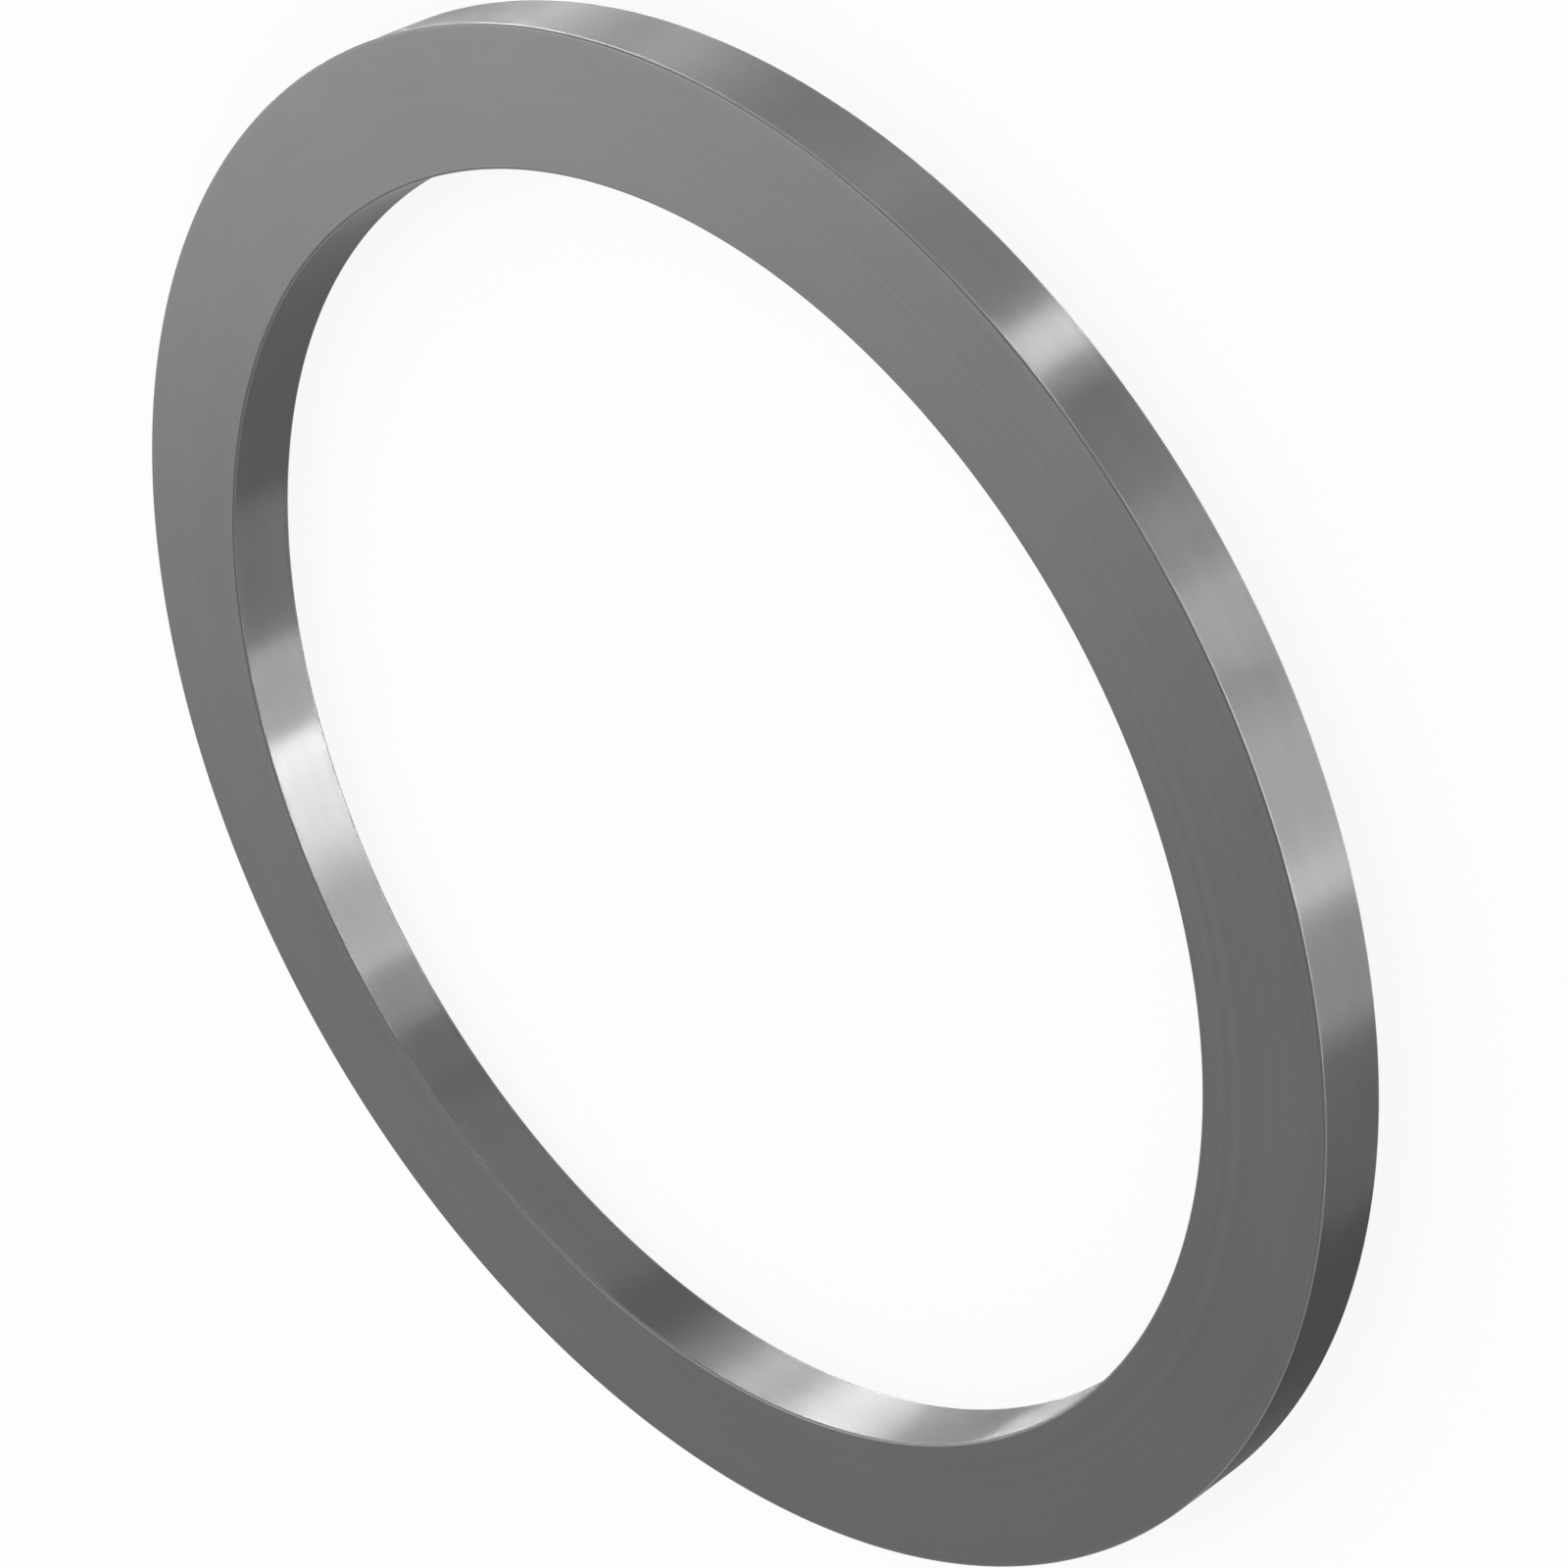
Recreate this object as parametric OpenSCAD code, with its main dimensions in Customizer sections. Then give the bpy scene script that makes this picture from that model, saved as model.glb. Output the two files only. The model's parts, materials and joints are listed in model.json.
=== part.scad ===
// Flat metal sealing washer for a hydraulic port: one turned ring of rectangular section.
// It lies on its lower sealing face. The origin is the centre of that face, and +Z runs along the bore.

/* [Ring] */
// Diameter of the bore, which passes over the thread of the port fitting
bore_d = 26.7; // [16:0.1:60]
// Radial width of the flat sealing land, from the bore to the rim
land_w = 2.75; // [1.5:0.05:8]
// Thickness from the lower sealing face to the upper one
thickness = 1.5; // [1:0.1:4]

/* [Edges] */
// Radius that deburring leaves on all four edges
edge_r = 0.05; // [0.02:0.01:0.3]

/* [Hidden] */
bore_r = bore_d / 2;
// Colour of the bare steel
steel_grey = [0.45, 0.45, 0.45];
// Segments of a full turn in the preview
$fn = 180;

// A rectangle with its near corner at the origin and an arc of radius r at each corner
module rounded_rectangle(width, height, r) {
    translate([r, 0]) square([width - 2 * r, height]);
    translate([0, r]) square([width, height - 2 * r]);
    for (x = [r, width - r], y = [r, height - r])
        translate([x, y]) circle(r);
}

// The ring's section, between the bore wall and the rim, turned about the bore axis
module sealing_washer() {
    color(steel_grey)
        rotate_extrude()
            translate([bore_r, 0])
                rounded_rectangle(land_w, thickness, edge_r);
}

sealing_washer();
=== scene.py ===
import json
import math

import bmesh
import bpy
from mathutils import Matrix, Vector


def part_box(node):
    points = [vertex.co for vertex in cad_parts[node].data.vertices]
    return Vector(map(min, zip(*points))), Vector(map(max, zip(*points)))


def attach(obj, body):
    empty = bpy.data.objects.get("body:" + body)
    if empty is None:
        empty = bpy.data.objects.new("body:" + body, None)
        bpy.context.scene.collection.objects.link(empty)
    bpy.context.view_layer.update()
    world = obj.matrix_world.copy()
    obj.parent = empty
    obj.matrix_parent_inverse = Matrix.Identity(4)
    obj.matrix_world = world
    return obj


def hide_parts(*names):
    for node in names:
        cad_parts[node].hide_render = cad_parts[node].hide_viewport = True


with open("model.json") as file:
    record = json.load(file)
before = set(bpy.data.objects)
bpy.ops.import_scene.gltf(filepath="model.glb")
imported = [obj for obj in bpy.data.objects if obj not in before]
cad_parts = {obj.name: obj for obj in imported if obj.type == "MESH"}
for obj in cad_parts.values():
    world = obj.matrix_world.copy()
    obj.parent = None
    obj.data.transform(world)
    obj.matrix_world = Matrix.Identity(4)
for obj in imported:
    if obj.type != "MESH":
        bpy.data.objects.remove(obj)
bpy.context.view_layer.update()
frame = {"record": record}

scene = bpy.context.scene
mm = 0.001
quarterTurn = 90  # degrees
noiseMiddle = 0.5  # noise runs from 0 to 1


class Tap:
    # one socket of a node tree; sums on it add Math nodes

    def __init__(self, tree, socket=None):
        self.tree = tree
        self.socket = socket

    def __getitem__(self, name):  # another output of the same node
        return Tap(self.tree, self.socket.node.outputs[name])

    def node(self, kind, settings=None, sockets=None):
        made = self.tree.nodes.new("ShaderNode" + kind)
        for name, value in (settings or {}).items():
            setattr(made, name, value)
        for name, value in (sockets or {}).items():
            if isinstance(value, Tap):
                self.tree.links.new(value.socket, made.inputs[name])
            else:
                made.inputs[name].default_value = value
        return Tap(self.tree, made.outputs[0] if made.outputs else None)

    def maths(self, operation, first, second):
        return self.node("Math", {"operation": operation}, {0: first, 1: second})

    def __add__(self, other):
        return self.maths("ADD", self, other)

    def __radd__(self, other):
        return self.maths("ADD", other, self)

    def __sub__(self, other):
        return self.maths("SUBTRACT", self, other)

    def __rsub__(self, other):
        return self.maths("SUBTRACT", other, self)

    def __mul__(self, other):
        return self.maths("MULTIPLY", self, other)

    def __rmul__(self, other):
        return self.maths("MULTIPLY", other, self)

    def __truediv__(self, other):
        return self.maths("DIVIDE", self, other)

    def __rtruediv__(self, other):
        return self.maths("DIVIDE", other, self)


def emptyTree(owner):
    owner.use_nodes = True
    owner.node_tree.nodes.clear()
    return Tap(owner.node_tree)


def greyColour(level):
    return (level, level, level, 1.0)


# The washer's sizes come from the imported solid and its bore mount
lowCorner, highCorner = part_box("sealing_washer")
boreMount = next(mount for mount in frame["record"]["mounts"] if mount["name"] == "bore")
rimRadius = highCorner.x
thickness = highCorner.z - lowCorner.z
boreRadius = boreMount["dims"]["r_mm"] * mm
print("washer", rimRadius, boreRadius, thickness)

# What all surfaces of the steel share
steel = {
    "cloudSize": 4 * mm,  # slow mottling
    "cloudDetail": 3.0,
    "cloudDepth": 0.15,
    "markDetail": 2.0,
    "wearWidth": 0.15 * mm,  # rubbed strip beside an arris
    "wearShine": 0.05,
    "glossTurn": 0.25,  # of a full turn: gloss spreads along the bore, not round it
}

# "across" runs over the tool marks, from one arris to the other
surfaces = {
    "lappedFace": {
        "grey": 0.163, "roughness": 0.36, "anisotropy": 0.0, "edgeShine": 1.0,
        "across": "radius", "arrises": (boreRadius, rimRadius),
        "markSpacing": 0.12 * mm, "markLength": 25 * mm, "markHeight": 0.001 * mm,
        "markDepth": 0.15, "roughSpread": 0.06,
    },
    "turnedRim": {
        "grey": 0.10, "roughness": 0.30, "anisotropy": 1.0, "edgeShine": 0.44,
        "across": "height", "arrises": (0.0, thickness),
        "markSpacing": 0.15 * mm, "markLength": 30 * mm, "markHeight": 0.0001 * mm,
        "markDepth": 0.15, "roughSpread": 0.03,
    },
    "boredWall": {
        "grey": 0.112, "roughness": 0.25, "anisotropy": 1.0, "edgeShine": 0.62,
        "across": "height", "arrises": (0.0, thickness),
        "markSpacing": 0.15 * mm, "markLength": 30 * mm, "markHeight": 0.0001 * mm,
        "markDepth": 0.15, "roughSpread": 0.03,
    },
}


def steelFinish(name, look):
    material = bpy.data.materials.new(name)
    tap = emptyTree(material)
    place = tap.node("TexCoord")["Object"]
    axes = tap.node("SeparateXYZ", sockets={0: place})
    flat = tap.node("CombineXYZ", sockets={0: axes["X"], 1: axes["Y"]})
    radius = tap.node("VectorMath", {"operation": "LENGTH"}, {0: flat})["Value"]
    across = radius if look["across"] == "radius" else axes["Z"]
    # tool marks change fast across the lay and slowly round the ring
    lay = tap.node("CombineXYZ", sockets={
        0: across / look["markSpacing"],
        1: axes["X"] / look["markLength"],
        2: axes["Y"] / look["markLength"],
    })
    marks = tap.node("TexNoise", sockets={
        "Vector": lay, "Scale": 1.0, "Detail": steel["markDetail"],
    }) - noiseMiddle
    cloud = tap.node("TexNoise", sockets={
        "Vector": place, "Scale": 1 / steel["cloudSize"], "Detail": steel["cloudDetail"],
    }) - noiseMiddle
    # a strip along each arris is rubbed a little brighter
    inner, outer = look["arrises"]
    gap = tap.maths("MINIMUM", across - inner, outer - across) + steel["wearWidth"] * cloud
    worn = tap.node("MapRange", {"interpolation_type": "SMOOTHSTEP"}, {
        "Value": gap, "From Min": 0.0, "From Max": steel["wearWidth"], "To Min": 1.0, "To Max": 0.0,
    })
    tone = 1 + steel["cloudDepth"] * cloud + look["markDepth"] * marks + steel["wearShine"] * worn
    grey = look["grey"] * tone
    relief = tap.node("Bump", sockets={
        "Height": marks, "Strength": 1.0, "Distance": look["markHeight"],
    })
    shader = tap.node("BsdfPrincipled", sockets={
        "Base Color": tap.node("CombineColor", sockets={0: grey, 1: grey, 2: grey}),
        "Roughness": look["roughness"] + look["roughSpread"] * marks,
        "Normal": relief,
        "Metallic": 1.0,
        "Anisotropic": look["anisotropy"],
        "Anisotropic Rotation": steel["glossTurn"],
        "Specular Tint": greyColour(look["edgeShine"]),
    })
    tap.node("OutputMaterial", sockets={0: shader})
    return material


washerRing = {
    "edgeRadius": 0.05 * mm,  # deburred arris
    "arcSteps": 6,
    "landSteps": 4,  # quads across a sealing face
    "turnSteps": 360,
    "wallShare": 0.99,  # a wall's normal points outward or inward by at least this much
    "bakeRows": 3,  # the ring unrolls into this many rows of its own map
}


def ringSection(size):
    # points and outward normals round the section, anticlockwise from the rim's lower arc
    edge = size["edgeRadius"]
    corners = [
        (rimRadius - edge, edge, -quarterTurn),
        (rimRadius - edge, thickness - edge, 0),
        (boreRadius + edge, thickness - edge, quarterTurn),
        (boreRadius + edge, edge, 2 * quarterTurn),
    ]
    section = []
    for index, (x, z, start) in enumerate(corners):
        for step in range(size["arcSteps"] + 1):
            angle = math.radians(start + quarterTurn * step / size["arcSteps"])
            normal = Vector((math.cos(angle), math.sin(angle)))
            section.append((Vector((x, z)) + edge * normal, normal))
        if index in (1, 3):  # a sealing face follows; after the other two arcs a wall does
            here, normal = section[-1]
            nextX = corners[(index + 1) % len(corners)][0]
            for step in range(1, size["landSteps"]):
                landX = x + (nextX - x) * step / size["landSteps"]
                section.append((Vector((landX, here.y)), normal))
    return section


def surfaceOf(normal, size):
    if abs(normal.x) < size["wallShare"]:  # the deburred arrises are finished like the faces
        return "lappedFace"
    return "turnedRim" if normal.x > 0 else "boredWall"


def buildRing(size):
    section = ringSection(size)
    gaps = [(there[0] - here[0]).length for here, there in zip(section, section[1:] + section[:1])]
    along = [sum(gaps[:index]) / sum(gaps) for index in range(len(gaps) + 1)]
    made = bmesh.new()
    bakeMap = made.loops.layers.uv.new("OFBake")
    normals = []
    turns = []
    for turn in range(size["turnSteps"]):
        angle = 2 * math.pi * turn / size["turnSteps"]
        outward = Vector((math.cos(angle), math.sin(angle), 0))
        turns.append([made.verts.new(outward * spot.x + Vector((0, 0, spot.y))) for spot, _ in section])
        normals += [outward * normal.x + Vector((0, 0, normal.y)) for _, normal in section]
    slots = list(surfaces)
    rowTurns = size["turnSteps"] // size["bakeRows"]
    for turn, here in enumerate(turns):
        there = turns[(turn + 1) % len(turns)]
        row, place = divmod(turn, rowTurns)
        for index in range(len(section)):
            after = (index + 1) % len(section)
            quad = made.faces.new((here[index], there[index], there[after], here[after]))
            quad.smooth = True
            facing = (section[index][1] + section[after][1]) / 2
            quad.material_index = slots.index(surfaceOf(facing, size))
            for loop, (onward, over) in zip(quad.loops, ((0, 0), (1, 0), (1, 1), (0, 1))):
                mapX = (place + onward) / rowTurns
                mapY = (row + along[index + over]) / size["bakeRows"]
                loop[bakeMap].uv = (mapX, mapY)
    mesh = bpy.data.meshes.new("washer_ring")
    made.to_mesh(mesh)
    made.free()
    mesh.normals_split_custom_set_from_vertices(normals)
    for name, look in surfaces.items():
        mesh.materials.append(steelFinish(name, look))
    ring = bpy.data.objects.new("washer_ring", mesh)
    scene.collection.objects.link(ring)
    return ring


ring = buildRing(washerRing)
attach(ring, "root")
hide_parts("sealing_washer")
print("ring", len(ring.data.polygons), "faces")

studio = {
    "flatRadius": 0.9,  # metres
    "coveRadius": 1.5,
    "coveHeight": 0.4,
    "coveSteps": 12,
    "turnSteps": 96,
    "weldGap": 0.01 * mm,  # closes the seam of the turn
    "floorGrey": 0.97,
    "whiteShare": 0.88,  # of the floor as seen; the rest takes the light and the shadow
    "worldLevel": 0.7,
}


def floorPaint(look):
    material = bpy.data.materials.new("paleFloor")
    tap = emptyTree(material)
    rays = tap.node("LightPath")
    seen = rays["Is Camera Ray"] + rays["Is Glossy Ray"] + rays["Is Transmission Ray"]
    matt = tap.node("BsdfDiffuse", sockets={"Color": greyColour(look["floorGrey"])})
    white = tap.node("Emission", sockets={"Color": greyColour(1.0), "Strength": 1.0})
    shader = tap.node("MixShader", sockets={0: look["whiteShare"] * seen, 1: matt, 2: white})
    tap.node("OutputMaterial", sockets={0: shader})
    return material


def buildFloor(look):
    # flat, and curving up into a low cove all round
    made = bmesh.new()
    profile = [made.verts.new((0, 0, 0))]
    for step in range(look["coveSteps"] + 1):
        share = step / look["coveSteps"]
        reach = look["flatRadius"] + (look["coveRadius"] - look["flatRadius"]) * share
        profile.append(made.verts.new((reach, 0, look["coveHeight"] * share ** 2)))
    spokes = [made.edges.new(pair) for pair in zip(profile, profile[1:])]
    bmesh.ops.spin(
        made, geom=profile + spokes, axis=(0, 0, 1), cent=(0, 0, 0),
        angle=2 * math.pi, steps=look["turnSteps"],
    )
    bmesh.ops.remove_doubles(made, verts=made.verts, dist=look["weldGap"])
    for face in made.faces:
        face.smooth = True
    mesh = bpy.data.meshes.new("floor")
    made.to_mesh(mesh)
    made.free()
    mesh.materials.append(floorPaint(look))
    floor = bpy.data.objects.new("floor", mesh)
    floor.visible_shadow = False  # light from below passes
    scene.collection.objects.link(floor)


def lightWorld(look):
    scene.world = bpy.data.worlds.new("studio")
    tap = emptyTree(scene.world)
    light = tap.node("Background", sockets={"Color": greyColour(1.0), "Strength": look["worldLevel"]})
    tap.node("OutputWorld", sockets={0: light})


buildFloor(studio)
lightWorld(studio)
print("stage")

# Lamps hang in racks: reach in metres, low and high as elevations.
# Each lamp has its azimuth from +X, its width as an angle in plan and its level,
# where 1 is as bright as white.
keyRack = {
    "reach": 0.6, "low": 15, "high": 70,
    "lamps": {"keySoftbox": (50, 60, 1.45)},
}
tableRack = {  # strips under the floor, which lets them through: the walls mirror them, the faces don't
    "reach": 0.6, "low": -40, "high": -26,
    "lamps": {
        "frontGlow": (190, 30, 1.5),
        "frontEdge": (215, 24, 7),
        "frontStrip": (234, 26, 13),
        "frontStep": (256, 18, 9),
        "frontFade": (270, 14, 4),
        "sideGlow": (5, 20, 2.5),
        "sideEdge": (18, 24, 6),
        "sideStrip": (34, 18, 11),
        "sideFade": (52, 24, 3),
    },
}
peakRack = {  # a shorter strip, for the end of the bore wall
    "reach": 0.6, "low": -34, "high": -26,
    "lamps": {"sidePeak": (73, 4, 20)},
}
rimRack = {  # near the rim, where the bore hardly sees them
    "reach": 0.028, "low": -26, "high": -10,
    "lamps": {
        "rimStep": (272, 28, 2),
        "rimFade": (305, 20, 2.5),
        "rimFill": (330, 32, 2.5),
    },
}
glintRack = {  # closer still, for the narrow band on the rim
    "reach": 0.021, "low": -10, "high": -4,
    "lamps": {
        "rimGlow": (288, 8, 6),
        "rimGlint": (288.5, 4, 12),
    },
}
boreRack = {  # deep under the bore, where the rim doesn't see it
    "reach": 0.014, "low": -66, "high": -50,
    "lamps": {"boreStrip": (202, 34, 10)},
}


def hangLamps(rack):
    reach = rack["reach"]
    lift = math.radians((rack["low"] + rack["high"]) / 2)
    for name, (azimuth, wide, level) in rack["lamps"].items():
        light = bpy.data.lights.new(name, "AREA")
        light.shape = "RECTANGLE"
        light.size = 2 * reach * math.cos(lift) * math.tan(math.radians(wide / 2))
        light.size_y = 2 * reach * math.tan(math.radians((rack["high"] - rack["low"]) / 2))
        light.energy = math.pi * light.size * light.size_y * level
        # what shines through the floor is direct light only
        light.cycles.use_multiple_importance_sampling = rack["low"] > 0
        turn = math.radians(azimuth)
        plan = Vector((math.cos(turn), math.sin(turn), 0))
        towards = plan * math.cos(lift) + Vector((0, 0, math.sin(lift)))
        lamp = bpy.data.objects.new(name, light)
        aim = towards.to_track_quat("Z", "Y").to_matrix().to_4x4()
        lamp.matrix_world = Matrix.Translation(towards * reach) @ aim
        lamp.visible_camera = False
        scene.collection.objects.link(lamp)
        print("lamp", name)


for rack in (keyRack, tableRack, peakRack, rimRack, glintRack, boreRack):
    hangLamps(rack)

# The photograph's view of the ring, in a frame of 1600 by 1600 pixels
photoView = {
    "frameSide": 1600,
    "ringCentre": (715.3, 833.4),  # pixel of the ring's middle
    "rimPixels": 844.9,  # the rim's radius in pixels at that depth
    "distance": 5.255,  # in rim radii, along the view axis
    "elevation": 35.86,  # degrees
    "roll": -119.27,
    "sensor": 36.0,  # millimetres, as Blender counts them
    "nearest": 1 * mm,  # where the view begins
}


def aimCamera(view):
    lift = math.radians(view["elevation"])
    roll = math.radians(view["roll"])
    back = Vector((0, -math.cos(lift), math.sin(lift)))
    level = Vector((1, 0, 0))
    upright = back.cross(level)
    right = math.cos(roll) * level + math.sin(roll) * upright
    up = math.cos(roll) * upright - math.sin(roll) * level
    half = view["frameSide"] / 2
    across = (view["ringCentre"][0] - half) / view["rimPixels"]
    down = (view["ringCentre"][1] - half) / view["rimPixels"]
    middle = Vector((0, 0, thickness / 2))
    spot = middle + rimRadius * (view["distance"] * back - across * right + down * up)
    camera = bpy.data.cameras.new("photoCamera")
    camera.sensor_width = view["sensor"]
    camera.lens = view["sensor"] * view["rimPixels"] * view["distance"] / view["frameSide"]
    camera.clip_start = view["nearest"]
    eye = bpy.data.objects.new("photoCamera", camera)
    eye.matrix_world = Matrix.Translation(spot) @ Matrix((right, up, back)).transposed().to_4x4()
    scene.collection.objects.link(eye)
    scene.camera = eye


aimCamera(photoView)
scene.view_settings.view_transform = "Standard"
print("camera")
